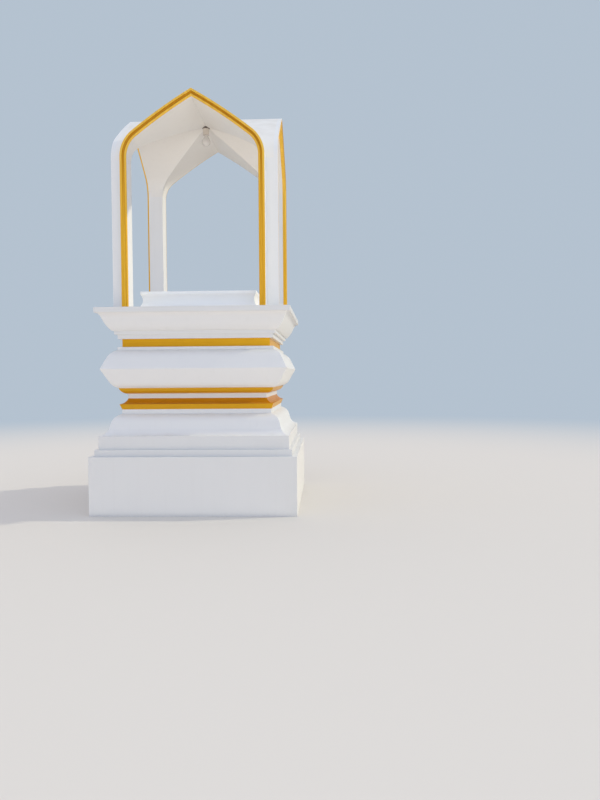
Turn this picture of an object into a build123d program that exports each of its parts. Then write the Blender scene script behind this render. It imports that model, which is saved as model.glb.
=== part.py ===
# Spirit house of painted masonry: an open canopy of four pointed arches with a groined vault,
# standing on a square moulded base with a lotus waist, with an altar block and a lamp inside.
# Millimetres, +Z up, origin on the ground at the middle of the plan, front facing -Y.
import os
from math import acos, cos, degrees, radians, sin

from build123d import *

# Base courses, from the ground up: half width in plan and height of each. The bell spreads
# downwards from the base fillet to the top course of the plinth.
plinth_half = 966
plinth_height = 549
upper_course_half = 921
upper_course_height = 62
top_course_height = 124
bell_height = 201
bell_spread = 177
base_fillet_half = 715
base_fillet_height = 43
lower_moulding_tip_half = 735
lower_moulding_height = 104
lower_moulding_tip_rise = 50
waist_half = 668
waist_height = 45
upper_moulding_height = 54
lotus_foot_half = 738
lotus_lower_height = 183
lotus_rim_half = 875
lotus_upper_height = 180
lotus_fillet_half = 743
lotus_fillet_height = 28
neck_band_half = 706
neck_band_height = 77
cornice_lower_fillet_half = 740
cornice_lower_fillet_height = 42
cornice_upper_fillet_half = 766
cornice_upper_fillet_height = 33
cyma_foot_half = 783
cyma_height = 162
slab_half = 911
slab_height = 50
slab_drip = 18
lower_moulding_hollow = 12
upper_moulding_bulge = 15

# Altar block on the platform, which clears the inside of the posts all round.
altar_side_gap = 53
altar_base_height = 43
altar_waist_height = 110
altar_waist_hollow = 39
altar_top_height = 27

# Canopy: cross-shaped plan, shell thickness, and the four-centred pointed arch.
arm_half = 678
arm_projection = 117
shell = 60
post_height = 1408
vault_rise = 615
shoulder_radius = 300
shoulder_turn = 52

# Gilded trim on each arm end: a flat fascia, then a cove and a bead that are worked in short flats.
trim_depth = 40
fascia_width = 20
cove_width = 20
cove_drop = 11
cove_flat_count = 3
bead_rise = 8
bead_flat_count = 4

# Lamp under the crossing.
rose_radius = 38
rose_drop = 22
holder_radius = 33
holder_height = 65
bulb_radius = 44
bulb_neck_radius = 20
bulb_length = 112
bulb_shoulder_angle = 35
bulb_flat_count = 7

sides = {"front": 0, "right": 90, "back": 180, "left": 270}


def base_levels():
    """Level of the underside of each base course, and of the platform on top of them."""
    heights = {
        "plinth": plinth_height,
        "upper_course": upper_course_height,
        "top_course": top_course_height,
        "bell": bell_height,
        "base_fillet": base_fillet_height,
        "lower_moulding": lower_moulding_height,
        "waist": waist_height,
        "upper_moulding": upper_moulding_height,
        "lotus_lower": lotus_lower_height,
        "lotus_upper": lotus_upper_height,
        "lotus_fillet": lotus_fillet_height,
        "neck_band": neck_band_height,
        "cornice_lower_fillet": cornice_lower_fillet_height,
        "cornice_upper_fillet": cornice_upper_fillet_height,
        "cyma": cyma_height,
        "slab": slab_height,
    }
    levels = {}
    top = 0
    for course, height in heights.items():
        levels[course] = top
        top += height
    levels["platform"] = top
    return levels


level = base_levels()
platform = level["platform"]
spring = platform + post_height
arm_inner = arm_half - shell
arm_reach = arm_half + arm_projection
arm_face = arm_reach - trim_depth
altar_half = arm_inner - altar_side_gap
top_course_half = base_fillet_half + bell_spread


def square_block(half, bottom, height):
    """A plain square course."""
    return Pos(0, 0, bottom) * extrude(Rectangle(2 * half, 2 * half), height)


def moulded_course(foot, head, outline):
    """A square course whose four sides follow one outline, mitred at the corners.

    The outline is drawn on the right, as half width against level, from foot to head.
    """
    foot = Vector(foot)
    head = Vector(head)
    closing = [Line(head, (0, head.Y)), Line((0, head.Y), (0, foot.Y)), Line((0, foot.Y), foot)]
    half_section = make_face(outline + closing)
    side = extrude(Plane.XZ * half_section, 2 * plinth_half, both=True)
    for normal in ((1, 1, 0), (1, -1, 0)):
        side = split(side, bisect_by=Plane((0, 0, 0), z_dir=normal), keep=Keep.TOP)
    course = side
    for turn in (90, 180, 270):
        course += side.rotate(Axis.Z, turn)
    return course


def hollow_arc(start, end, hollow):
    """An arc from start to end that bows to the left of its chord by the hollow, or to the right below 0."""
    start = Vector(start)
    end = Vector(end)
    chord = end - start
    middle = (start + end) * 0.5 + Vector(-chord.Y, chord.X).normalized() * hollow
    return ThreePointArc(start, middle, end)


def in_flats(arc, count):
    """An arc worked as equal flats, with its corners on the arc."""
    return Polyline([arc @ (step / count) for step in range(count + 1)])


def swept_line(foot, head, lower, upper):
    """A straight stretch with an arc at each end, tangent to it.

    Lower and upper are the ends of the straight stretch, as shares of the run and
    the rise from foot to head. An end at the foot or the head itself has no arc.
    """
    foot = Vector(foot)
    head = Vector(head)
    span = head - foot
    start = foot + Vector(lower[0] * span.X, lower[1] * span.Y)
    end = foot + Vector(upper[0] * span.X, upper[1] * span.Y)
    edges = [Line(start, end)]
    if start != foot:
        edges.append(TangentArc(start, foot, tangent=start - end))
    if end != head:
        edges.append(TangentArc(end, head, tangent=end - start))
    return edges


def bell_course():
    """Inverted bell: hollow at the foot, rounded at the shoulder."""
    foot = (top_course_half, level["bell"])
    head = (base_fillet_half, level["base_fillet"])
    return moulded_course(foot, head, swept_line(foot, head, (0.45, 0.35), (0.53, 0.61)))


def lower_moulding():
    """Gilded base moulding: undercut face, sharp edge and a cove above it."""
    foot = (base_fillet_half, level["lower_moulding"])
    tip = (lower_moulding_tip_half, foot[1] + lower_moulding_tip_rise)
    head = (waist_half, level["waist"])
    return moulded_course(foot, head, [Line(foot, tip), hollow_arc(tip, head, lower_moulding_hollow)])


def upper_moulding():
    """Gilded quarter round between the waist and the foot of the lotus."""
    foot = (waist_half, level["upper_moulding"])
    head = (lotus_foot_half, level["lotus_lower"])
    return moulded_course(foot, head, [hollow_arc(foot, head, -upper_moulding_bulge)])


def lotus_lower():
    """Lower half of the lotus: rounded foot, then a straight slope out to the sharp rim."""
    foot = (lotus_foot_half, level["lotus_lower"])
    rim = (lotus_rim_half, level["lotus_upper"])
    return moulded_course(foot, rim, swept_line(foot, rim, (0.5, 0.32), (1, 1)))


def lotus_upper():
    """Upper half of the lotus: a straight slope in from the sharp rim, then a rounded shoulder."""
    rim = (lotus_rim_half, level["lotus_upper"])
    head = (lotus_fillet_half, level["lotus_fillet"])
    return moulded_course(rim, head, swept_line(rim, head, (0, 0), (0.4, 0.61)))


def cornice_fillets():
    """Two stepped fillets under the cyma."""
    steps = square_block(
        cornice_lower_fillet_half, level["cornice_lower_fillet"], cornice_lower_fillet_height
    )
    steps += square_block(
        cornice_upper_fillet_half, level["cornice_upper_fillet"], cornice_upper_fillet_height
    )
    return steps


def cornice_cyma():
    """Cyma under the platform: rounded foot, hollow head."""
    foot = (cyma_foot_half, level["cyma"])
    head = (slab_half - slab_drip, level["slab"])
    return moulded_course(foot, head, swept_line(foot, head, (0.57, 0.56), (0.68, 0.74)))


def altar_waist():
    """Hollowed waist of the altar block."""
    foot = (altar_half, platform + altar_base_height)
    head = (altar_half, foot[1] + altar_waist_height)
    return moulded_course(foot, head, [hollow_arc(foot, head, altar_waist_hollow)])


def crown_arc_centre():
    """Centre and radius of the long upper arc of the arch's outer line."""
    normal = Vector(cos(radians(shoulder_turn)), sin(radians(shoulder_turn)))
    join = Vector(arm_half - shoulder_radius, spring) + normal * shoulder_radius
    to_apex = Vector(0, spring + vault_rise) - join
    radius = -to_apex.length ** 2 / (2 * to_apex.dot(normal))
    return join - normal * radius, radius


def half_arch(inset):
    """Right half of the arch line, from the springing to the apex, moved in by the inset."""
    centre, radius = crown_arc_centre()
    radius -= inset
    apex_angle = degrees(acos(-centre.X / radius))
    shoulder_centre = (arm_half - shoulder_radius, spring)
    return [
        CenterArc(shoulder_centre, shoulder_radius - inset, 0, shoulder_turn),
        CenterArc(centre, radius, shoulder_turn, apex_angle - shoulder_turn),
    ]


def corner_post():
    """L-shaped post at the front right corner, from the platform to the springing."""
    plan = Pos((arm_inner + arm_half) / 2, -(arm_inner + arm_face) / 2) * Rectangle(
        shell, arm_face - arm_inner
    )
    plan += Pos((arm_inner + arm_face) / 2, -(arm_inner + arm_half) / 2) * Rectangle(
        arm_face - arm_inner, shell
    )
    return Pos(0, 0, platform) * extrude(plan, post_height)


def vault_arm():
    """Front quarter of the groined vault, mitred to its neighbours on the diagonals."""
    outer = half_arch(0)
    inner = half_arch(shell)
    half_section = make_face(
        outer
        + inner
        + [Line(outer[1] @ 1, inner[1] @ 1), Line(outer[0] @ 0, inner[0] @ 0)]
    )
    section = Plane.XZ * (half_section + mirror(half_section, Plane.YZ))
    arm = extrude(section, arm_face)
    for normal in ((1, -1, 0), (-1, -1, 0)):
        arm = split(arm, bisect_by=Plane((0, 0, 0), z_dir=normal), keep=Keep.TOP)
    return arm


def trim_section():
    """Plan section of the gilded trim on the right leg of the front arch."""
    cove_edge = arm_half - fascia_width
    bead_edge = cove_edge - cove_width
    face = -arm_reach
    floor = face + cove_drop
    cove_middle = ((cove_edge + bead_edge) / 2 + 0.2 * cove_width, floor - 0.2 * cove_drop)
    cove = ThreePointArc((cove_edge, face), cove_middle, (bead_edge, floor))
    bead_middle = ((bead_edge + arm_inner) / 2, floor - bead_rise)
    bead = ThreePointArc((bead_edge, floor), bead_middle, (arm_inner, floor))
    return make_face([
        Line((arm_half, -arm_face), (arm_half, face)),
        Line((arm_half, face), (cove_edge, face)),
        in_flats(cove, cove_flat_count),
        in_flats(bead, bead_flat_count),
        Line((arm_inner, floor), (arm_inner, -arm_face)),
        Line((arm_inner, -arm_face), (arm_half, -arm_face)),
    ])


def trim_leg():
    """Right leg of the front arch's trim."""
    return Pos(0, 0, platform) * extrude(trim_section(), post_height)


def trim_half_head():
    """Right half of the front arch's trim head, turned about both arc centres and mitred at the apex."""
    past_apex = 3
    centre, radius = crown_arc_centre()
    apex_angle = degrees(acos(-centre.X / (radius - shell)))
    shoulder_axis = Axis((arm_half - shoulder_radius, 0, spring), (0, -1, 0))
    crown_axis = Axis((centre.X, 0, centre.Y), (0, -1, 0))
    section = Pos(0, 0, spring) * trim_section()
    half = revolve(section, shoulder_axis, shoulder_turn)
    half += revolve(
        section.rotate(shoulder_axis, shoulder_turn),
        crown_axis,
        apex_angle - shoulder_turn + past_apex,
    )
    return split(half, bisect_by=Plane.YZ, keep=Keep.TOP)


def lamp(vault_arms):
    """Rose bedded in the crossing, bulb holder and opal bulb."""
    crossing = (half_arch(shell)[1] @ 1).Y
    rose_bottom = crossing - rose_drop
    rose = Pos(0, 0, rose_bottom) * extrude(Circle(rose_radius), rose_drop)
    for arm in vault_arms:
        rose -= arm
    holder_bottom = rose_bottom - holder_height
    holder = Pos(0, 0, holder_bottom) * extrude(Circle(holder_radius), holder_height)
    bulb_centre = holder_bottom - bulb_length + bulb_radius
    neck = (bulb_neck_radius, holder_bottom)
    shoulder = Vector(0, bulb_centre) + Vector(bulb_radius, 0).rotate(Axis.Z, bulb_shoulder_angle)
    globe = CenterArc((0, bulb_centre), bulb_radius, -90, 90 + bulb_shoulder_angle)
    half_outline = make_face([
        Line((0, holder_bottom - bulb_length), (0, holder_bottom)),
        Line((0, holder_bottom), neck),
        Line(neck, shoulder),
        in_flats(globe, bulb_flat_count),
    ])
    bulb = revolve(Plane.XZ * half_outline, Axis.Z)
    return rose, holder, bulb


def all_nodes():
    """Every sub-part by name."""
    nodes = {
        "plinth_block": square_block(plinth_half, 0, plinth_height),
        "plinth_upper_course": square_block(upper_course_half, level["upper_course"], upper_course_height),
        "plinth_top_course": square_block(top_course_half, level["top_course"], top_course_height),
        "base_bell": bell_course(),
        "base_fillet": square_block(base_fillet_half, level["base_fillet"], base_fillet_height),
        "lower_gold_moulding": lower_moulding(),
        "waist_course": square_block(waist_half, level["waist"], waist_height),
        "upper_gold_moulding": upper_moulding(),
        "lotus_lower": lotus_lower(),
        "lotus_upper": lotus_upper(),
        "lotus_fillet": square_block(lotus_fillet_half, level["lotus_fillet"], lotus_fillet_height),
        "gold_neck_band": square_block(neck_band_half, level["neck_band"], neck_band_height),
        "cornice_fillets": cornice_fillets(),
        "cornice_cyma": cornice_cyma(),
        "platform_slab": square_block(slab_half, level["slab"], slab_height),
        "altar_base": square_block(altar_half, platform, altar_base_height),
        "altar_waist": altar_waist(),
        "altar_top": square_block(
            altar_half, platform + altar_base_height + altar_waist_height, altar_top_height
        ),
    }
    post = corner_post()
    arm = vault_arm()
    leg = trim_leg()
    half_head = trim_half_head()
    for corner, turn in {"front_right": 0, "back_right": 90, "back_left": 180, "front_left": 270}.items():
        nodes[corner + "_post"] = post.rotate(Axis.Z, turn)
    for side, turn in sides.items():
        nodes[side + "_vault_arm"] = arm.rotate(Axis.Z, turn)
        nodes[side + "_trim_right_leg"] = leg.rotate(Axis.Z, turn)
        nodes[side + "_trim_left_leg"] = mirror(leg, Plane.YZ).rotate(Axis.Z, turn)
        nodes[side + "_trim_right_head"] = half_head.rotate(Axis.Z, turn)
        nodes[side + "_trim_left_head"] = mirror(half_head, Plane.YZ).rotate(Axis.Z, turn)
    vault_arms = [nodes[side + "_vault_arm"] for side in sides]
    nodes["lamp_rose"], nodes["lamp_holder"], nodes["lamp_bulb"] = lamp(vault_arms)
    return nodes


os.makedirs("parts", exist_ok=True)
for name, shape in all_nodes().items():
    export_step(shape, "parts/" + name + ".step")
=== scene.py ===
# The looks of a spirit house of painted masonry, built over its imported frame.
# Metres, +Z up, the front faces -Y and the ground is at Z 0.
from math import acos, atan, atan2, cos, pi, radians, sin

import bmesh
import bpy
from mathutils import Matrix, Vector


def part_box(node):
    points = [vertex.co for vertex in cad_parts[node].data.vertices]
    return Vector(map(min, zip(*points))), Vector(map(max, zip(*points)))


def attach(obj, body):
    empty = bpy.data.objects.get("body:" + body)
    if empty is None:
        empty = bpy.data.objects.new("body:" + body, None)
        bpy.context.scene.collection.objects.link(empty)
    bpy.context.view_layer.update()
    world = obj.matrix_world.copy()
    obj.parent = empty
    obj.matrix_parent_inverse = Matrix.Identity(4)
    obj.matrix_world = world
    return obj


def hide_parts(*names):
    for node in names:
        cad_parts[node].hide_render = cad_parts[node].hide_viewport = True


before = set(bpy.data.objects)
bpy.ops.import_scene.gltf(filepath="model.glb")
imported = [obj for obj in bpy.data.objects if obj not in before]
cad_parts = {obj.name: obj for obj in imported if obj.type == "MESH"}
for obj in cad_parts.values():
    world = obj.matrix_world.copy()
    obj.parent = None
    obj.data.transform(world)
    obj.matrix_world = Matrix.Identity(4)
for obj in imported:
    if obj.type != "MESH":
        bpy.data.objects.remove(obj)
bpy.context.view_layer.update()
scene = bpy.context.scene
scene.view_settings.view_transform = "Standard"
bpy.ops.object.select_all(action="DESELECT")
print("Frame loaded:", len(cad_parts), "nodes")


# Shader helpers

def addNode(tree, kind, values=None, **settings):
    # A shader node with its settings made and its sockets set or linked
    node = tree.nodes.new("ShaderNode" + kind)
    node.location = (220 * len(tree.nodes), 0)
    for key, value in settings.items():
        setattr(node, key, value)
    for socket, value in (values or {}).items():
        if isinstance(value, bpy.types.NodeSocket):
            tree.links.new(value, node.inputs[socket])
        else:
            node.inputs[socket].default_value = value
    return node


def newMaterial(name):
    # An empty material with its output node
    material = bpy.data.materials.new(name)
    material.use_nodes = True
    tree = material.node_tree
    tree.nodes.clear()
    return material, tree, addNode(tree, "OutputMaterial")


def solid(colour):
    # A colour as a socket wants it, opaque
    return (*colour, 1)


def maths(tree, operation, first, second):
    return addNode(tree, "Math", {0: first, 1: second}, operation=operation).outputs[0]


def mixed(tree, share, first, second, blend="MIX"):
    # The first colour, or the second where the share is 1
    node = addNode(tree, "Mix", {"Factor": share, 6: first, 7: second}, data_type="RGBA", blend_type=blend)
    return node.outputs[2]


def ranged(tree, value, low, high, toLow=0.0, toHigh=1.0, interpolation="LINEAR"):
    # Turns values from low to high into values from toLow to toHigh
    node = addNode(tree, "MapRange", {"Value": value, "From Min": low, "From Max": high,
                                      "To Min": toLow, "To Max": toHigh}, interpolation_type=interpolation)
    return node.outputs["Result"]


def scaled(tree, vector, factors):
    # Stretches a pattern: a small factor draws it out along that axis
    return addNode(tree, "VectorMath", {0: vector, 1: factors}, operation="MULTIPLY").outputs["Vector"]


def noise(tree, vector, scale, detail=3, roughness=0.5):
    node = addNode(tree, "TexNoise", {"Vector": vector, "Scale": scale, "Detail": detail,
                                      "Roughness": roughness})
    return node.outputs["Fac"]


def seenDirectly(tree):
    # 1 for rays that show the background: from the camera, off gloss and through glass
    path = addNode(tree, "LightPath")
    mirrored = maths(tree, "MAXIMUM", path.outputs["Is Camera Ray"], path.outputs["Is Glossy Ray"])
    return maths(tree, "MAXIMUM", mirrored, path.outputs["Is Transmission Ray"])


# Camera

view = {
    "place": (1.2324, -7.0729, 1.2788),
    "lens": 30.27,
    "sensor": 36,
    "tilt": 88.02,  # degrees up from straight down
    "turn": 2.204,  # degrees to the left of +Y
    "roll": -0.426,
}

cameraData = bpy.data.cameras.new("viewCamera")
cameraData.lens = view["lens"]
cameraData.sensor_width = view["sensor"]
camera = bpy.data.objects.new("viewCamera", cameraData)
scene.collection.objects.link(camera)
cameraTurn = Matrix.Rotation(radians(view["turn"]), 4, "Z") @ Matrix.Rotation(radians(view["tilt"]), 4, "X")
cameraTurn = cameraTurn @ Matrix.Rotation(radians(view["roll"]), 4, "Z")
camera.matrix_world = Matrix.Translation(view["place"]) @ cameraTurn
scene.camera = camera


# Light: a low sun on the right, a softbox, a card of light and the sky

sun = {
    "towards": (1.0, 0.2, 0.53),
    "colour": (1.0, 0.94, 0.735),
    "strength": 1.63,
    "angle": 2,  # degrees across
}

softbox = {
    "place": (6.5, -16.0, 2.2),  # far in front of the shrine and to its right
    "aim": (0.0, 0.0, 2.6),
    "size": (16, 3),
    "colour": (0.92, 1.0, 1.0),
    "watts": 378,
    "inGloss": True,  # whether gloss shows it
}

footCard = {
    "place": (-0.30, -1.13, 0.012),  # on the floor before the plinth, whose foot it lights
    "size": (2.4, 0.3),
    "colour": (1.0, 0.95, 0.87),
    "watts": 0.68,
    "inGloss": False,
}

skyGlow = {
    "zenith": (1.11, 1.16, 1.30),
    "front": (0.13, 0.24, 0.46),  # the horizon on the side that the shrine faces
    "left": (0.78, 0.64, 0.50),
    "right": (0.38, 0.33, 0.28),
    "backdrop": (0.46, 0.54, 0.63),  # what shows behind the shrine
    # The parts of a ray's direction over which one glow turns into the next
    "heightRange": (0.2, 0.95),
    "sideRange": (-0.7, 0.7),
    "frontRange": (0.5, -0.9),
}


def addAreaLamp(name, settings, turn):
    # A rectangular lamp that the camera doesn't see
    lampData = bpy.data.lights.new(name, "AREA")
    lampData.shape = "RECTANGLE"
    lampData.size, lampData.size_y = settings["size"]
    lampData.color = settings["colour"]
    lampData.energy = settings["watts"]
    areaLamp = bpy.data.objects.new(name, lampData)
    areaLamp.location = settings["place"]
    areaLamp.rotation_euler = turn
    areaLamp.visible_camera = False
    areaLamp.visible_glossy = settings["inGloss"]
    scene.collection.objects.link(areaLamp)


sunData = bpy.data.lights.new("lowSun", "SUN")
sunData.color = sun["colour"]
sunData.energy = sun["strength"]
sunData.angle = radians(sun["angle"])
sunLamp = bpy.data.objects.new("lowSun", sunData)
sunLamp.rotation_euler = Vector(sun["towards"]).to_track_quat("Z", "Y").to_euler()
scene.collection.objects.link(sunLamp)

boxAim = Vector(softbox["aim"]) - Vector(softbox["place"])
addAreaLamp("frontSoftbox", softbox, boxAim.to_track_quat("-Z", "Y").to_euler())
addAreaLamp("footCard", footCard, (pi, 0, 0))  # it shines upwards

world = bpy.data.worlds.new("softSky")
scene.world = world
world.use_nodes = True
sky = world.node_tree
sky.nodes.clear()
skyOutput = addNode(sky, "OutputWorld")
ray = addNode(sky, "SeparateXYZ", {"Vector": addNode(sky, "TexCoord").outputs["Generated"]})
sides = mixed(sky, ranged(sky, ray.outputs["X"], *skyGlow["sideRange"]), solid(skyGlow["left"]),
              solid(skyGlow["right"]))
horizon = mixed(sky, ranged(sky, ray.outputs["Y"], *skyGlow["frontRange"]), sides, solid(skyGlow["front"]))
dome = mixed(sky, ranged(sky, ray.outputs["Z"], *skyGlow["heightRange"]), horizon, solid(skyGlow["zenith"]))
glow = addNode(sky, "Background", {"Color": dome, "Strength": 1.0})
plainSky = addNode(sky, "Background", {"Color": solid(skyGlow["backdrop"]), "Strength": 1.0})
either = addNode(sky, "MixShader", {0: seenDirectly(sky), 1: glow.outputs[0], 2: plainSky.outputs[0]})
sky.links.new(either.outputs[0], skyOutput.inputs["Surface"])


# Floor, which keeps the shadow near the shrine and fades to the backdrop's colour further out

paving = {
    "radius": 60,
    "corners": 64,
    "roughness": 0.36,
    "seen": (0.66, 0.635, 0.60),  # its colour to the camera
    # Its colours in the light that it throws back, as painted light and shade: bright before the shrine and
    # close by on the right, dark behind it
    "frontBounce": (0.95, 0.875, 0.785),
    "backBounce": (0.19, 0.165, 0.135),
    "sideBounce": (0.92, 0.835, 0.71),
    "frontRange": (0.5, -1.5),  # along Y, from the colour behind to the one before
    "sideRise": (0.8, 1.1),  # along X, where the colour on the right comes in
    "sideFall": (3.0, 2.4),  # and where it has gone again
    "fadeRange": (5, 16),  # metres from the middle
}

floorMaterial, tree, output = newMaterial("paleFloor")
floorPoint = addNode(tree, "TexCoord").outputs["Object"]
distance = addNode(tree, "VectorMath", {0: floorPoint}, operation="LENGTH").outputs["Value"]
seen = seenDirectly(tree)
faded = ranged(tree, distance, *paving["fadeRange"], interpolation="SMOOTHSTEP")
fade = maths(tree, "MULTIPLY", faded, seen)
floorPlace = addNode(tree, "SeparateXYZ", {"Vector": floorPoint})
before = ranged(tree, floorPlace.outputs["Y"], *paving["frontRange"])
along = mixed(tree, before, solid(paving["backBounce"]), solid(paving["frontBounce"]))
beside = maths(tree, "MULTIPLY", ranged(tree, floorPlace.outputs["X"], *paving["sideRise"]),
               ranged(tree, floorPlace.outputs["X"], *paving["sideFall"]))
bounce = mixed(tree, beside, along, solid(paving["sideBounce"]))
near = addNode(tree, "BsdfPrincipled", {"Base Color": mixed(tree, seen, bounce, solid(paving["seen"])),
                                        "Roughness": paving["roughness"], "Specular IOR Level": 0.0})
far = addNode(tree, "Emission", {"Color": solid(skyGlow["backdrop"])})
shown = addNode(tree, "MixShader", {0: fade, 1: near.outputs[0], 2: far.outputs[0]})
tree.links.new(shown.outputs[0], output.inputs["Surface"])

bpy.ops.mesh.primitive_circle_add(vertices=paving["corners"], radius=paving["radius"], fill_type="NGON")
floor = bpy.context.active_object
floor.name = "paleFloor"
floor.data.materials.append(floorMaterial)
bpy.ops.object.select_all(action="DESELECT")
print("Camera, floor and light are in place")


# Effects that the paints share, each a node group

plasterMarks = {
    "detail": 2,
    "waveScale": 5.5,
    "dabScale": 26,
    "dabShare": 0.22,  # depth of the dabs against that of the waves
    "gritScale": 420,
}

brushMarks = {
    "bristleScale": 260,
    "bristleDetail": 3,
    "bristleRoughness": 0.6,
    "bristleShare": 0.6,
    "strokeScale": 38,
    "strokeDetail": 2,
    "strokeShare": 0.4,
}

dirtMarks = {
    "splashHeight": 0.11,
    "speckScale": 34,
    "speckDetail": 6,
    "speckRoughness": 0.65,
    "speckRange": (0.42, 0.7),
    "upward": (0.6, 0.95),  # how far a face has to look up to hold dust
    "driftScale": 9,
    "driftDetail": 4,
    "driftRange": (0.35, 0.75),
    "upright": (0.25, 0.6),  # and how far it may look up to have runs of rain
    "rainScale": 22,
    "rainStretch": (1, 1, 0.05),
    "rainRange": (0.55, 0.8),
}


def newGroup(name, inputs, outputs):
    # An empty node group with its sockets, and its two end nodes
    group = bpy.data.node_groups.new(name, "ShaderNodeTree")
    for label, kind, value in inputs:
        socket = group.interface.new_socket(name=label, in_out="INPUT", socket_type="NodeSocket" + kind)
        if value is not None:
            socket.default_value = value
    for label, kind in outputs:
        group.interface.new_socket(name=label, in_out="OUTPUT", socket_type="NodeSocket" + kind)
    return group, group.nodes.new("NodeGroupInput"), group.nodes.new("NodeGroupOutput")


# Trowelled plaster: slow waves of the float and the stipple of a rolled coat, as a height in millimetres
floatedPlaster, groupIn, groupOut = newGroup(
    "floatedPlaster",
    [("Vector", "Vector", None), ("Wave Depth", "Float", 0.6), ("Stipple Depth", "Float", 0.05)],
    [("Height", "Float")],
)
point = groupIn.outputs["Vector"]
waves = noise(floatedPlaster, point, plasterMarks["waveScale"], plasterMarks["detail"])
dabs = noise(floatedPlaster, point, plasterMarks["dabScale"], plasterMarks["detail"])
grit = noise(floatedPlaster, point, plasterMarks["gritScale"], plasterMarks["detail"])
dabs = maths(floatedPlaster, "MULTIPLY", dabs, plasterMarks["dabShare"])
dabbed = maths(floatedPlaster, "ADD", waves, dabs)
waveRelief = maths(floatedPlaster, "MULTIPLY", dabbed, groupIn.outputs["Wave Depth"])
stipple = maths(floatedPlaster, "MULTIPLY", grit, groupIn.outputs["Stipple Depth"])
floatedPlaster.links.new(maths(floatedPlaster, "ADD", waveRelief, stipple), groupOut.inputs["Height"])

# Brushed coat: fine marks drawn out along the stroke, as a height in millimetres and a mask
brushedCoat, groupIn, groupOut = newGroup(
    "brushedCoat",
    [("Vector", "Vector", None), ("Stretch", "Vector", (1, 1, 0.02)), ("Depth", "Float", 0.04)],
    [("Height", "Float"), ("Mask", "Float")],
)
drawn = scaled(brushedCoat, groupIn.outputs["Vector"], groupIn.outputs["Stretch"])
bristles = noise(brushedCoat, drawn, brushMarks["bristleScale"], brushMarks["bristleDetail"],
                 brushMarks["bristleRoughness"])
strokes = noise(brushedCoat, drawn, brushMarks["strokeScale"], brushMarks["strokeDetail"])
marks = maths(brushedCoat, "ADD", maths(brushedCoat, "MULTIPLY", bristles, brushMarks["bristleShare"]),
              maths(brushedCoat, "MULTIPLY", strokes, brushMarks["strokeShare"]))
markRelief = maths(brushedCoat, "MULTIPLY", marks, groupIn.outputs["Depth"])
brushedCoat.links.new(markRelief, groupOut.inputs["Height"])
brushedCoat.links.new(marks, groupOut.inputs["Mask"])

# Outdoor dirt: splash near the ground, dust on what faces up and faint runs of rain
outdoorDirt, groupIn, groupOut = newGroup(
    "outdoorDirt",
    [("Vector", "Vector", None), ("Clean", "Color", (0.8, 0.8, 0.8, 1)),
     ("Dirt", "Color", (0.45, 0.41, 0.35, 1)), ("Splash", "Float", 0.3), ("Dust", "Float", 0.15),
     ("Runs", "Float", 0.06)],
    [("Color", "Color"), ("Mask", "Float")],
)
point = groupIn.outputs["Vector"]
level = addNode(outdoorDirt, "SeparateXYZ", {"Vector": point}).outputs["Z"]
normal = addNode(outdoorDirt, "NewGeometry").outputs["Normal"]
slope = addNode(outdoorDirt, "SeparateXYZ", {"Vector": normal}).outputs["Z"]
low = ranged(outdoorDirt, level, 0.0, dirtMarks["splashHeight"], 1.0, 0.0)
speckled = noise(outdoorDirt, point, dirtMarks["speckScale"], dirtMarks["speckDetail"],
                 dirtMarks["speckRoughness"])
specks = ranged(outdoorDirt, speckled, *dirtMarks["speckRange"])
splash = maths(outdoorDirt, "MULTIPLY", maths(outdoorDirt, "MULTIPLY", low, low), specks)
drifting = noise(outdoorDirt, point, dirtMarks["driftScale"], dirtMarks["driftDetail"])
drift = ranged(outdoorDirt, drifting, *dirtMarks["driftRange"])
settled = maths(outdoorDirt, "MULTIPLY", ranged(outdoorDirt, slope, *dirtMarks["upward"]), drift)
rain = noise(outdoorDirt, scaled(outdoorDirt, point, dirtMarks["rainStretch"]), dirtMarks["rainScale"])
upright = ranged(outdoorDirt, slope, *dirtMarks["upright"], 1.0, 0.0)
runs = maths(outdoorDirt, "MULTIPLY", ranged(outdoorDirt, rain, *dirtMarks["rainRange"]), upright)
dirtMask = maths(outdoorDirt, "MULTIPLY", splash, groupIn.outputs["Splash"])
for mark, amount in ((settled, "Dust"), (runs, "Runs")):
    mark = maths(outdoorDirt, "MULTIPLY", mark, groupIn.outputs[amount])
    dirtMask = maths(outdoorDirt, "ADD", dirtMask, mark)
soiled = mixed(outdoorDirt, dirtMask, groupIn.outputs["Clean"], groupIn.outputs["Dirt"])
outdoorDirt.links.new(soiled, groupOut.inputs["Color"])
outdoorDirt.links.new(dirtMask, groupOut.inputs["Mask"])


def plasterOf(tree, point, settings):
    # The plaster's height at the depths of a finish
    plaster = addNode(tree, "Group", {"Vector": point, "Wave Depth": settings["waveDepth"],
                                      "Stipple Depth": settings["stippleDepth"]}, node_tree=floatedPlaster)
    return plaster.outputs["Height"]


def bumped(tree, height):
    # The normal of a height in millimetres
    return addNode(tree, "Bump", {"Height": height, "Strength": 1.0, "Distance": 0.001}).outputs["Normal"]


def brushedRelief(tree, point, settings, stretch, depth):
    # The normal of a brushed coat on plaster, and the mask of its marks
    brushed = addNode(tree, "Group", {"Vector": point, "Stretch": stretch, "Depth": depth},
                      node_tree=brushedCoat)
    height = maths(tree, "ADD", plasterOf(tree, point, settings), brushed.outputs["Height"])
    return bumped(tree, height), brushed.outputs["Mask"]


def dirtied(tree, point, clean, dirt, splash, dust, rainRuns):
    # A clean colour with dirt on it, and the dirt's mask
    soil = addNode(tree, "Group", {"Vector": point, "Clean": clean, "Dirt": solid(dirt), "Splash": splash,
                                   "Dust": dust, "Runs": rainRuns}, node_tree=outdoorDirt)
    return soil.outputs["Color"], soil.outputs["Mask"]


# White and gold paint

markRange = (0.3, 0.7)  # the part of a noise over which a finish changes

# One white paint all over. Its tone per part is painted light and shade: darker on the plinth and slab,
# lighter on the canopy
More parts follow.
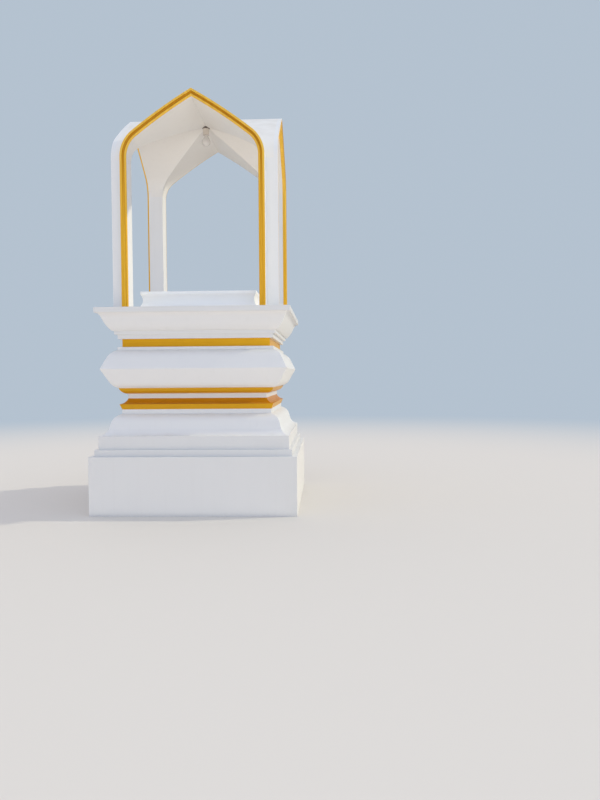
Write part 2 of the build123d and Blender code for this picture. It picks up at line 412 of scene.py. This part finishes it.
whitePaint = {
    "plinth": (0.74, 0.733, 0.722),
    "base": (0.79, 0.785, 0.78),
    "canopy": (0.84, 0.835, 0.825),
    # painted light: the vault is lighter and warmer, for the warm bounce light on it
    "vault": (0.86, 0.837, 0.80),
    # painted light: the altar is much lighter, for the light that falls on it
    "altar": (0.97, 0.97, 0.955),
    "dirt": (0.46, 0.43, 0.38),
    "roughness": (0.34, 0.48),
    "dirtRoughness": 0.4,  # what full dirt adds to it
    "specular": 0.35,
    "waveDepth": 0.5,
    "stippleDepth": 0.035,
}

gildedPaint = {
    "neck": (0.87, 0.455, 0.010),
    "bands": (0.745, 0.387, 0.012),
    # painted shade for the cove of the lower gold moulding
    "coveShaded": (0.69, 0.283, 0.003),
    "legs": (0.90, 0.50, 0.032),  # trims from the platform to near the springing
    # painted light: the legs' cove is as bright as where the sun lit its wall
    "legGrooveLit": (0.93, 0.56, 0.05),
    # painted highlight: the arch heads are a lighter gold than the legs
    "headsLit": (1.0, 0.62, 0.09),
    # painted shade: the arch heads' cove is dark, for the shade in it
    "headGrooveShaded": (0.60, 0.26, 0.002),
    # the turn from the legs' tones to the heads' is painted light and shade by height
    "turnRange": (2.6, 3.5),  # levels between which the legs' tones turn into the heads'
    "worn": (0.84, 0.76, 0.55),  # what worn paint keeps of its tone
    "wornScale": 14,
    "wornRange": (0.38, 0.68),
    "dirt": (0.25, 0.15, 0.04),
    "dust": 0.1,
    "rainRuns": 0.04,
    "metallic": 0.25,
    "roughness": (0.30, 0.46),
    "specular": 0.25,
    "brushDepth": 0.05,
    "waveDepth": 0.35,
    "stippleDepth": 0.03,
}


def makeWhite(name, part, stretch, brushDepth, dust, rainRuns, splash=0.0):
    # Satin white enamel over plaster, brushed along the stretch
    material, tree, output = newMaterial(name)
    point = addNode(tree, "TexCoord").outputs["Object"]
    normal, marks = brushedRelief(tree, point, whitePaint, stretch, brushDepth)
    colour, dirt = dirtied(tree, point, solid(whitePaint[part]), whitePaint["dirt"], splash, dust, rainRuns)
    sheen = ranged(tree, marks, *markRange, *whitePaint["roughness"])
    roughness = maths(tree, "ADD", sheen, maths(tree, "MULTIPLY", dirt, whitePaint["dirtRoughness"]))
    paint = addNode(tree, "BsdfPrincipled", {"Base Color": colour, "Roughness": roughness, "Normal": normal,
                                             "Specular IOR Level": whitePaint["specular"]})
    tree.links.new(paint.outputs[0], output.inputs["Surface"])
    return material


def makeGold(name, stretch, lowPart, highPart):
    # Satin gold paint, brushed along the stretch, of one tone low on the piece and another high on it; on
    # the trims this change is painted light and shade
    material, tree, output = newMaterial(name)
    point = addNode(tree, "TexCoord").outputs["Object"]
    normal, marks = brushedRelief(tree, point, gildedPaint, stretch, gildedPaint["brushDepth"])
    level = addNode(tree, "SeparateXYZ", {"Vector": point}).outputs["Z"]
    # The tone changes with height: on the trims this is painted light and shade
    tone = mixed(tree, ranged(tree, level, *gildedPaint["turnRange"]), solid(gildedPaint[lowPart]),
                 solid(gildedPaint[highPart]))
    patches = noise(tree, scaled(tree, point, stretch), gildedPaint["wornScale"])
    uneven = maths(tree, "MULTIPLY", maths(tree, "ADD", patches, marks), 0.5)  # the mean of the two
    worn = ranged(tree, uneven, *gildedPaint["wornRange"])
    gold = mixed(tree, worn, tone, solid(gildedPaint["worn"]), "MULTIPLY")
    colour = dirtied(tree, point, gold, gildedPaint["dirt"], 0.0, gildedPaint["dust"],
                     gildedPaint["rainRuns"])[0]
    sheen = ranged(tree, marks, *markRange, *gildedPaint["roughness"])
    paint = addNode(tree, "BsdfPrincipled", {"Base Color": colour, "Roughness": sheen, "Normal": normal,
                                             "Specular IOR Level": gildedPaint["specular"],
                                             "Metallic": gildedPaint["metallic"]})
    tree.links.new(paint.outputs[0], output.inputs["Surface"])
    return material


lengthwise = (0.02, 0.02, 1)  # marks that run round the courses
upwards = (1, 1, 0.02)  # marks that run up the posts
fromRoller = (0.6, 0.6, 0.6)  # marks with no direction
whiteMoulding = makeWhite("whiteMoulding", "base", lengthwise, brushDepth=0.05, dust=0.16, rainRuns=0.05)
whitePlinth = makeWhite("whitePlinth", "plinth", fromRoller, brushDepth=0.03, dust=0.12, rainRuns=0.04,
                        splash=0.12)
# its lighter white is painted light
whiteAltarLit = makeWhite("whiteAltarLit", "altar", lengthwise, brushDepth=0.04, dust=0.08, rainRuns=0.0)
whitePost = makeWhite("whitePost", "canopy", upwards, brushDepth=0.05, dust=0.12, rainRuns=0.04)
# its warmer white is painted bounce light
whiteVaultWarmLit = makeWhite("whiteVaultWarmLit", "vault", fromRoller, brushDepth=0.03, dust=0.30, rainRuns=0.06)
goldBand = makeGold("goldBand", lengthwise, "neck", "neck")
goldMoulding = makeGold("goldMoulding", lengthwise, "bands", "bands")
# painted shade: a darker gold for the lower moulding's cove
goldCoveShaded = makeGold("goldCoveShaded", lengthwise, "coveShaded", "coveShaded")
goldTrim = makeGold("goldTrim", upwards, "legs", "headsLit")
# the trims' cove carries painted light on the legs and painted shade on the heads
goldGrooveLitAndShaded = makeGold("goldGrooveLitAndShaded", upwards, "legGrooveLit", "headGrooveShaded")
print("Paints are mixed")


# Modelling helpers

doubled = 0.00002  # vertices this near to each other are merged
hair = 0.0001  # points this near to each other count as one
close = 0.001  # an edge or face this near to a line counts as on it
hardCorner = radians(25)  # corners sharper than this are softened


def startPlane(name, centre, width, depth):
    # A plane of that size in its place, open in edit mode with all of it selected
    bpy.ops.object.select_all(action="DESELECT")
    bpy.ops.mesh.primitive_plane_add(size=1, location=centre)
    piece = bpy.context.active_object
    piece.name = name
    piece.scale = (width, depth, 1)
    bpy.ops.object.transform_apply(location=True, rotation=True, scale=True)
    bpy.ops.object.mode_set(mode="EDIT")
    bpy.ops.mesh.select_all(action="SELECT")
    return piece


def startPoint(name, point):
    # A single vertex to draw an outline from: a small plane, merged at its centre
    piece = startPlane(name, point, 0.01, 0.01)
    bpy.ops.mesh.merge(type="CENTER")
    bpy.ops.mesh.select_mode(type="VERT")
    bpy.ops.mesh.select_all(action="SELECT")
    return piece


def lift(x, y, z):
    # Extrudes what is selected by that much
    bpy.ops.mesh.extrude_region_move(TRANSFORM_OT_translate={"value": (x, y, z)})


def drawOutline(points):
    # Extrudes the selected vertex from the first point through the rest
    for start, end in zip(points, points[1:]):
        lift(*(Vector(end) - Vector(start)))


def pick(kind, test):
    # Selects the edges or faces that pass the test, and nothing else
    bpy.ops.mesh.select_mode(type=kind)
    bpy.ops.mesh.select_all(action="DESELECT")
    mesh = bmesh.from_edit_mesh(bpy.context.edit_object.data)
    for part in mesh.edges if kind == "EDGE" else mesh.faces:
        if test(part):
            part.select = True
    mesh.select_flush_mode()
    bmesh.update_edit_mesh(bpy.context.edit_object.data)


def middle(part):
    # The middle of an edge or a face
    return sum((vert.co for vert in part.verts), Vector()) / len(part.verts)


def paintPicked(piece, slot, test):
    # Gives the faces that pass the test the material in that slot
    pick("FACE", test)
    piece.active_material_index = slot
    bpy.ops.object.material_slot_assign()


def closeUp():
    # Merges doubled vertices and turns all faces outwards
    bpy.ops.mesh.select_all(action="SELECT")
    bpy.ops.mesh.remove_doubles(threshold=doubled)
    bpy.ops.mesh.select_all(action="SELECT")
    bpy.ops.mesh.normals_make_consistent(inside=False)


def applyModifier(piece, kind, **settings):
    modifier = piece.modifiers.new(kind.lower(), kind)
    for key, value in settings.items():
        setattr(modifier, key, value)
    bpy.ops.object.modifier_apply(modifier=modifier.name)


def finishShape(piece, smoothAngle=38):
    # Leaves edit mode and smooths all but the sharp edges
    bpy.ops.object.mode_set(mode="OBJECT")
    bpy.ops.object.shade_smooth_by_angle(angle=radians(smoothAngle))
    applyModifier(piece, "WEIGHTED_NORMAL", keep_sharp=True)


def declare(piece, slot, *nodes):
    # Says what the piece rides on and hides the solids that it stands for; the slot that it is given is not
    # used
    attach(piece, "root")
    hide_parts(*nodes)


def turnedCopy(piece, name, quarters):
    # A copy with its own mesh, turned about Z by quarter turns
    bpy.ops.object.select_all(action="DESELECT")
    piece.select_set(True)
    bpy.context.view_layer.objects.active = piece
    bpy.ops.object.duplicate(linked=False)
    copy = bpy.context.active_object
    copy.name = name
    copy.rotation_euler.z = quarters * pi / 2
    bpy.ops.object.transform_apply(location=True, rotation=True, scale=True)
    return copy


def aimed(angle):
    # The unit vector at that angle in an outline's plane
    return Vector((cos(angle), sin(angle)))


def arcPoints(start, end, tangent, steps):
    # Points of the arc that leaves start along the tangent and ends at end
    chord = end - start
    bend = atan2(tangent.x * chord.y - tangent.y * chord.x, tangent.dot(chord))
    heading = atan2(tangent.y, tangent.x)
    points = []
    for step in range(steps + 1):
        part = bend * step / steps
        reach = chord.length * sin(part) / sin(bend)
        points.append(start + aimed(heading + part) * reach)
    return points


def bowedArc(start, end, bow, steps):
    # An arc that bows to the left of its chord by that much, or to the right if below 0
    chord = end - start
    lean = 2 * atan(2 * bow / chord.length)
    tangent = Vector((chord.x * cos(lean) - chord.y * sin(lean), chord.x * sin(lean) + chord.y * cos(lean)))
    return arcPoints(start, end, tangent, steps)


def straightWithArcs(foot, head, lower, upper, steps):
    # A straight stretch between two shares of the run, with an arc at each end that is tangent to it
    span = head - foot
    start = foot + Vector((lower[0] * span.x, lower[1] * span.y))
    end = foot + Vector((upper[0] * span.x, upper[1] * span.y))
    points = [start, end]
    if (start - foot).length > hair:
        points = arcPoints(start, foot, start - end, steps)[::-1] + [end]
    if (head - end).length > hair:
        points = points[:-1] + arcPoints(end, head, end - start, steps)
    return points


# Square courses of the base

base = {
    "arcSteps": 14,
    "arris": 0.003,
    "arrisSteps": 3,
    # Where a curve's straight stretch starts and ends, as shares of its run across and up
    "bell": ((0.45, 0.35), (0.53, 0.61)),
    "lotusFoot": ((0.5, 0.32), (1, 1)),
    "lotusHead": ((0, 0), (0.4, 0.61)),
    "cyma": ((0.57, 0.56), (0.68, 0.74)),
    "lowerGoldTipRise": 0.050,
    "lowerGoldHollow": 0.012,
    "upperGoldBulge": 0.015,
    "lowerFilletHalf": 0.740,
    "lowerFilletRise": 0.042,
    "cymaFootHalf": 0.783,
    "slabDrip": 0.018,  # how far the slab stands out over the cyma
    "coveFacing": 0.1,  # faces of the lower gold that look up by more than this are its cove
}


def halfOf(node):
    # Half width of a node, from the middle to its right side
    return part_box(node)[1].x


def footOf(node, half=None):
    # Half width and level at the foot of a course
    return Vector((half or halfOf(node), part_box(node)[0].z))


def headOf(node, half=None):
    # Half width and level at its head
    return Vector((half or halfOf(node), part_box(node)[1].z))


def plainOutline(node):
    return [footOf(node), headOf(node)]


def buildCourse(name, outline, freeFoot, freeHead, settings):
    # A square course: a plane at its foot, lifted and resized from point to point of the outline
    startPlane(name, (0, 0, outline[0].y), 2 * outline[0].x, 2 * outline[0].x)
    for below, above in zip(outline, outline[1:]):
        lift(0, 0, above.y - below.y)
        share = above.x / below.x
        bpy.ops.transform.resize(value=(share, share, 1), center_override=(0, 0, above.y))
    closeUp()
    footLevel = outline[0].y
    headLevel = outline[-1].y

    def soft(edge):
        # Outer corners, but not where the course meets its neighbour flush
        if not edge.is_manifold or edge.calc_face_angle_signed() < hardCorner:
            return False
        level = [vert.co.z for vert in edge.verts]
        if max(level) < footLevel + hair:
            return freeFoot
        if min(level) > headLevel - hair:
            return freeHead
        return True

    pick("EDGE", soft)
    bpy.ops.mesh.bevel(offset=settings["arris"], segments=settings["arrisSteps"], affect="EDGES",
                       clamp_overlap=False)
    closeUp()
    piece = bpy.context.edit_object
    finishShape(piece)
    return piece


steps = base["arcSteps"]

lowerGoldFoot = footOf("lower_gold_moulding", halfOf("base_fillet"))
lowerGoldTip = Vector((halfOf("lower_gold_moulding"), lowerGoldFoot.y + base["lowerGoldTipRise"]))
lowerGoldHead = headOf("lower_gold_moulding", halfOf("waist_course"))
upperGoldFoot = footOf("upper_gold_moulding", halfOf("waist_course"))
lotusFoot = footOf("lotus_lower", halfOf("upper_gold_moulding"))
lotusRim = headOf("lotus_lower")
lotusHead = headOf("lotus_upper", halfOf("lotus_fillet"))
filletFoot = footOf("cornice_fillets", base["lowerFilletHalf"])
filletStep = filletFoot + Vector((0, base["lowerFilletRise"]))
filletHead = headOf("cornice_fillets")
cymaFoot = footOf("cornice_cyma", base["cymaFootHalf"])
cymaHead = headOf("cornice_cyma", halfOf("platform_slab") - base["slabDrip"])

bellHead = headOf("base_bell", halfOf("base_fillet"))
bellLine = straightWithArcs(footOf("base_bell"), bellHead, *base["bell"], steps)
lowerGoldLine = [lowerGoldFoot] + bowedArc(lowerGoldTip, lowerGoldHead, base["lowerGoldHollow"], steps)
upperGoldLine = bowedArc(upperGoldFoot, headOf("upper_gold_moulding"), -base["upperGoldBulge"], steps)
lotusLine = straightWithArcs(lotusFoot, lotusRim, *base["lotusFoot"], steps)
lotusLine += straightWithArcs(lotusRim, lotusHead, *base["lotusHead"], steps)[1:]
filletLine = [filletFoot, filletStep, Vector((filletHead.x, filletStep.y)), filletHead]
cymaLine = straightWithArcs(cymaFoot, cymaHead, *base["cyma"], steps)

courses = [
    ("plinthFoot", ["plinth_block"], plainOutline("plinth_block"), whitePlinth),
    ("plinthStep", ["plinth_upper_course"], plainOutline("plinth_upper_course"), whitePlinth),
    ("plinthHead", ["plinth_top_course"], plainOutline("plinth_top_course"), whitePlinth),
    ("bell", ["base_bell"], bellLine, whiteMoulding),
    ("bellFillet", ["base_fillet"], plainOutline("base_fillet"), whiteMoulding),
    ("lowerGold", ["lower_gold_moulding"], lowerGoldLine, goldMoulding),
    ("waist", ["waist_course"], plainOutline("waist_course"), whiteMoulding),
    ("upperGold", ["upper_gold_moulding"], upperGoldLine, goldMoulding),
    ("lotus", ["lotus_lower", "lotus_upper"], lotusLine, whiteMoulding),
    ("lotusHeadFillet", ["lotus_fillet"], plainOutline("lotus_fillet"), whiteMoulding),
    ("goldNeck", ["gold_neck_band"], plainOutline("gold_neck_band"), goldBand),
    ("corniceSteps", ["cornice_fillets"], filletLine, whiteMoulding),
    ("cyma", ["cornice_cyma"], cymaLine, whiteMoulding),
    ("slab", ["platform_slab"], plainOutline("platform_slab"), whitePlinth),
]

for index, (name, nodes, outline, paint) in enumerate(courses):
    below = courses[index - 1][2][-1].x if index else 0
    above = courses[index + 1][2][0].x if index + 1 < len(courses) else 0
    freeFoot = index > 0 and outline[0].x > below + close
    freeHead = outline[-1].x > above + close
    piece = buildCourse(name, outline, freeFoot, freeHead, base)
    piece.data.materials.append(paint)
    if name == "lowerGold":  # its cove gets painted shade: a darker, more orange gold
        piece.data.materials.append(goldCoveShaded)
        bpy.ops.object.mode_set(mode="EDIT")
        paintPicked(piece, 1, lambda part: part.normal.z > base["coveFacing"])
        bpy.ops.object.mode_set(mode="OBJECT")
    declare(piece, "gold_masonry" if paint in (goldMoulding, goldBand) else "white_masonry", *nodes)
print("Base courses are built")


# Altar block on the platform

altar = {
    "arcSteps": 12,
    "arris": 0.0025,
    "arrisSteps": 3,
    "hollow": 0.020,
}

altarWaist = bowedArc(footOf("altar_waist"), headOf("altar_waist"), altar["hollow"], altar["arcSteps"])
for name, node, outline in (
    ("altarFoot", "altar_base", plainOutline("altar_base")),
    ("altarHollow", "altar_waist", altarWaist),
    ("altarTable", "altar_top", plainOutline("altar_top")),
):
    piece = buildCourse(name, outline, False, name == "altarTable", altar)
    piece.data.materials.append(whiteAltarLit)
    declare(piece, "white_masonry", node)
print("Altar is built")


# Canopy: posts, vault and gilt trims

legLow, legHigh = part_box("front_trim_right_leg")
canopy = {
    "half": legHigh.x,  # outer side of a leg
    "shell": legHigh.x - legLow.x,
    "reach": -legLow.y,  # front of the trim
    "face": -legHigh.y,  # front of the masonry behind the trim
    "platform": legLow.z,
    "spring": legHigh.z,
    "apex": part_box("front_vault_arm")[1].z,
    "shoulderRadius": 0.300,
    "shoulderTurn": radians(52),
    "shoulderSteps": 18,
    "crownSteps": 8,
    "pastApex": radians(1.5),  # the crown's arc runs on this far, and is cut at the middle
    "arris": 0.0025,
    "arrisSteps": 3,
}

# The arch's right half: a shoulder arc from the springing, then a flatter crown arc to the apex
half = canopy["half"]
inner = half - canopy["shell"]
face = canopy["face"]
spring = canopy["spring"]
shoulder = Vector((half - canopy["shoulderRadius"], spring))
outward = aimed(canopy["shoulderTurn"])
join = shoulder + outward * canopy["shoulderRadius"]
toApex = Vector((0, canopy["apex"])) - join
crownRadius = -toApex.length_squared / (2 * toApex.dot(outward))
crown = join - outward * crownRadius
crownTurn = acos(-crown.x / (crownRadius - canopy["shell"])) - canopy["shoulderTurn"] + canopy["pastApex"]


def spinUp(centre, turn, steps):
    # Spins the selected section up the right half of the arch, about an axis along Y
    bpy.ops.mesh.spin(steps=steps, angle=turn, center=(centre.x, 0, centre.y), axis=(0, 1, 0))


def bisectKeeping(normal, fill):
    # Cuts all of the piece through the middle of the plan and keeps the side that the normal points to
    bpy.ops.mesh.select_all(action="SELECT")
    bpy.ops.mesh.bisect(plane_co=(0, 0, 0), plane_no=normal, use_fill=fill, clear_inner=True)


def spinArch(piece):
    # The selected section spun up the right half of the arch, cut at the middle and mirrored to the left
    spinUp(shoulder, canopy["shoulderTurn"], canopy["shoulderSteps"])
    spinUp(crown, crownTurn, canopy["crownSteps"])
    bisectKeeping((1, 0, 0), False)
    bpy.ops.object.mode_set(mode="OBJECT")
    applyModifier(piece, "MIRROR", use_axis=(True, False, False), use_clip=True, merge_threshold=hair)
    bpy.ops.object.mode_set(mode="EDIT")


# Corner post, L-shaped in plan: the corner cell first, then its two legs
cell = (inner + half) / 2
post = startPlane("postFrontRight", (cell, -cell, canopy["platform"]), canopy["shell"], canopy["shell"])
pick("EDGE", lambda edge: middle(edge).y < -half + close)
lift(0, half - face, 0)
pick("EDGE", lambda edge: middle(edge).x > half - close and middle(edge).y > -half)
lift(face - half, 0, 0)
bpy.ops.mesh.select_mode(type="FACE")
bpy.ops.mesh.select_all(action="SELECT")
lift(0, 0, spring - canopy["platform"])
closeUp()
pick("EDGE", lambda edge: (middle(edge).xy - Vector((inner, -inner))).length < close)
bpy.ops.mesh.bevel(offset=canopy["arris"], segments=canopy["arrisSteps"], affect="EDGES")
closeUp()
finishShape(post)
post.data.materials.append(whitePost)
posts = {"front_right_post": post}
for name, node, quarters in (
    ("postBackRight", "back_right_post", 1),
    ("postBackLeft", "back_left_post", 2),
    ("postFrontLeft", "front_left_post", 3),
):
    posts[node] = turnedCopy(post, name, quarters)
for node, piece in posts.items():
    declare(piece, "white_masonry", node)
print("Posts are built")

# Vault arm: the foot of its right side, spun up to the crown, mirrored and mitred on the diagonals
arm = startPlane("vaultFront", (cell, -face / 2, spring), canopy["shell"], face)
spinArch(arm)
for side in (-1, 1):
    bisectKeeping((side, -1, 0), True)
closeUp()
finishShape(arm)
arm.data.materials.append(whiteVaultWarmLit)
arms = {"front_vault_arm": arm}
for name, node, quarters in (
    ("vaultRight", "right_vault_arm", 1),
    ("vaultBack", "back_vault_arm", 2),
    ("vaultLeft", "left_vault_arm", 3),
):
    arms[node] = turnedCopy(arm, name, quarters)
for node, piece in arms.items():
    declare(piece, "white_masonry", node)
print("Vault is built")

trim = {
    "fasciaWidth": 0.020,
    "coveWidth": 0.020,
    "coveDrop": 0.011,
    "coveBow": 0.0045,
    "coveSteps": 6,
    "beadRise": 0.008,
    "beadSteps": 8,
    "coveFacing": 0.2,  # faces of the cove look along Y by less than this
    "goldReturn": 0.020,  # how far the gold goes round onto the inner reveal
    "smoothAngle": 30,
}

# The trim's section in plan, from the outer side round the front to the inner reveal
coveEdge = half - trim["fasciaWidth"]
beadEdge = coveEdge - trim["coveWidth"]
front = -canopy["reach"]
groove = front + trim["coveDrop"]
coveFoot = Vector((beadEdge, groove))
coveLine = bowedArc(Vector((coveEdge, front)), coveFoot, -trim["coveBow"], trim["coveSteps"])
beadLine = bowedArc(coveFoot, Vector((inner, groove)), trim["beadRise"], trim["beadSteps"])
goldEnd = front + trim["goldReturn"]
section = [Vector((half, -face)), Vector((half, front))] + coveLine + beadLine[1:]
section += [Vector((inner, goldEnd)), Vector((inner, -face))]


def insetOf(part):
    # How far the middle of a face lies inside the arch's outer line
    point = middle(part)
    x = abs(point.x)
    if point.z < spring:
        return half - x
    fromShoulder = Vector((x, point.z)) - shoulder
    if atan2(fromShoulder.y, fromShoulder.x) < canopy["shoulderTurn"]:
        return canopy["shoulderRadius"] - fromShoulder.length
    return crownRadius - (Vector((x, point.z)) - crown).length


def onOuterSide(part):
    return insetOf(part) < close


def inCove(part):
    across = insetOf(part) - trim["fasciaWidth"]
    return 0 < across < trim["coveWidth"] and part.normal.y < trim["coveFacing"]


def pastGold(part):
    # On the inner reveal, behind the gold's end
    return middle(part).y > goldEnd and insetOf(part) > close


archTrim = startPoint("trimFront", (*section[0], canopy["platform"]))
drawOutline([(*point, 0) for point in section])
bpy.ops.mesh.select_all(action="SELECT")
bpy.ops.mesh.edge_face_add()
bpy.ops.mesh.select_mode(type="FACE")
bpy.ops.mesh.select_all(action="SELECT")
lift(0, 0, spring - canopy["platform"])
spinArch(archTrim)
closeUp()
for paint in (goldTrim, whitePost, goldGrooveLitAndShaded, whitePost):
    archTrim.data.materials.append(paint)
paintPicked(archTrim, 1, onOuterSide)
paintPicked(archTrim, 2, inCove)
paintPicked(archTrim, 3, pastGold)
finishShape(archTrim, trim["smoothAngle"])
trims = {"front": archTrim}
for name, side, quarters in (
    ("trimRight", "right", 1),
    ("trimBack", "back", 2),
    ("trimLeft", "left", 3),
):
    trims[side] = turnedCopy(archTrim, name, quarters)
trims["right"].data.materials[3] = goldTrim  # its whole return is gilded
trimParts = ("_trim_right_leg", "_trim_left_leg", "_trim_right_head", "_trim_left_head")
for side, piece in trims.items():
    declare(piece, "gold_masonry", *(side + part for part in trimParts))
print("Trims are built")


# Lamp under the crossing

lamp = {
    "turnSteps": 48,
    "mottleScale": 60,
    "mottleDetail": 4,
    "mottleShade": 0.7,  # the darker tone, as a share of the colour
    "sheenScale": 90,
    "sheenSpread": 0.12,
    "dirt": (0.45, 0.41, 0.35),
    "dust": 0.3,
    "rainRuns": 0.05,
    "coatRoughness": 0.15,
    "waveDepth": 0.05,
    "stippleDepth": 0.02,
}

cap = {
    "colour": (0.14, 0.105, 0.085),
    "roughness": 0.45,
    "mottle": 0.3,  # how much of the darker tone shows at most
    "coat": 0.0,
    "topDrop": 0.004,
    "topInset": 0.006,
    "slopeDrop": 0.010,
    "edge": 0.007,
    "edgeSteps": 6,
}

holder = {
    "colour": (0.70, 0.63, 0.56),
    "roughness": 0.25,
    "mottle": 0.12,
    "coat": 0.3,
    "taper": 0.003,  # how far the waist lies inside the head
    "lip": 0.004,
    "lipInset": 0.001,
    "lipSteps": 5,
    "waistEnds": (4, 2.2),  # levels above the foot, in lips
}

bulb = {
    "colour": (0.72, 0.69, 0.66),
    "roughness": 0.16,
    "mottle": 0.05,
    "coat": 0.2,
    "baseRadius": 0.0165,
    "baseLength": 0.012,
    "neckFlare": 0.0035,
    "neckSteps": 10,
    "shoulder": radians(28),  # where the globe ends and the neck starts, above the globe's middle
    "globeSteps": 20,
}


def turnPiece(name, outline):
    # Spins an outline of radius against level all round the middle axis
    piece = startPoint(name, (outline[0].x, 0, outline[0].y))
    drawOutline([(point.x, 0, point.y) for point in outline])
    bpy.ops.mesh.select_all(action="SELECT")
    bpy.ops.mesh.spin(steps=lamp["turnSteps"], angle=2 * pi, center=(0, 0, 0), axis=(0, 0, 1))
    closeUp()
    finishShape(piece)
    return piece


def makeLampFinish(name, finish):
    # A turned lamp part's finish: a slightly uneven colour with dust on it
    material, tree, output = newMaterial(name)
    point = addNode(tree, "TexCoord").outputs["Object"]
    mottled = noise(tree, point, lamp["mottleScale"], lamp["mottleDetail"])
    uneven = ranged(tree, mottled, *markRange, 1.0 - finish["mottle"], 1.0)
    shade = mixed(tree, uneven, solid([part * lamp["mottleShade"] for part in finish["colour"]]),
                  solid(finish["colour"]))
    colour = dirtied(tree, point, shade, lamp["dirt"], 0.0, lamp["dust"], lamp["rainRuns"])[0]
    normal = bumped(tree, plasterOf(tree, point, lamp))
    sheen = ranged(tree, noise(tree, point, lamp["sheenScale"]), *markRange, finish["roughness"],
                   finish["roughness"] + lamp["sheenSpread"])
    body = addNode(tree, "BsdfPrincipled", {"Base Color": colour, "Roughness": sheen, "Normal": normal,
                                            "Coat Weight": finish["coat"],
                                            "Coat Roughness": lamp["coatRoughness"]})
    tree.links.new(body.outputs[0], output.inputs["Surface"])
    return material


down = Vector((0, -1))

capLow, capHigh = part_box("lamp_rose")
capRadius = capHigh.x
capTop = capHigh.z - cap["topDrop"]
capEdge = arcPoints(Vector((capRadius, capLow.z + cap["edge"])), Vector((capRadius - cap["edge"], capLow.z)),
                    down, cap["edgeSteps"])
capLine = [Vector((0, capTop)), Vector((capRadius - cap["topInset"], capTop)),
           Vector((capRadius, capHigh.z - cap["slopeDrop"]))] + capEdge + [Vector((0, capLow.z))]
lampCap = turnPiece("lampCap", capLine)
lampCap.data.materials.append(makeLampFinish("lampCapBrown", cap))
declare(lampCap, "lamp_rose", "lamp_rose")

holderLow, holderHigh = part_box("lamp_holder")
waistRadius = holderHigh.x - holder["taper"]
lip = holder["lip"]
lipLine = arcPoints(Vector((holderHigh.x - holder["lipInset"], holderLow.z + lip)),
                    Vector((holderHigh.x - lip, holderLow.z)), down, holder["lipSteps"])
holderLine = [Vector((0, holderHigh.z)), Vector((holderHigh.x, holderHigh.z))]
holderLine += [Vector((waistRadius, holderLow.z + lips * lip)) for lips in holder["waistEnds"]]
lampHolder = turnPiece("lampHolder", holderLine + lipLine + [Vector((0, holderLow.z))])
lampHolder.data.materials.append(makeLampFinish("lampHolderGlaze", holder))
declare(lampHolder, "lamp_holder", "lamp_holder")

bulbLow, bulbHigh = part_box("lamp_bulb")
globeRadius = bulbHigh.x
globeCentre = Vector((0, bulbLow.z + globeRadius))
baseRadius = bulb["baseRadius"]
baseFoot = bulbHigh.z - bulb["baseLength"]
globeShoulder = globeCentre + aimed(bulb["shoulder"]) * globeRadius
neckLine = arcPoints(globeShoulder, Vector((baseRadius + bulb["neckFlare"], baseFoot)),
                     aimed(bulb["shoulder"] + pi / 2), bulb["neckSteps"])
globeTurn = bulb["shoulder"] + pi / 2
globeLine = []
for step in range(bulb["globeSteps"]):
    angle = bulb["shoulder"] - globeTurn * (step + 1) / bulb["globeSteps"]
    globeLine.append(globeCentre + aimed(angle) * globeRadius)
bulbBase = [Vector((0, bulbHigh.z)), Vector((baseRadius, bulbHigh.z)), Vector((baseRadius, baseFoot))]
lampBulb = turnPiece("lampBulb", bulbBase + neckLine[::-1] + globeLine)
lampBulb.data.materials.append(makeLampFinish("bulbGlass", bulb))
declare(lampBulb, "opal_bulb", "lamp_bulb")
print("Lamp is built")
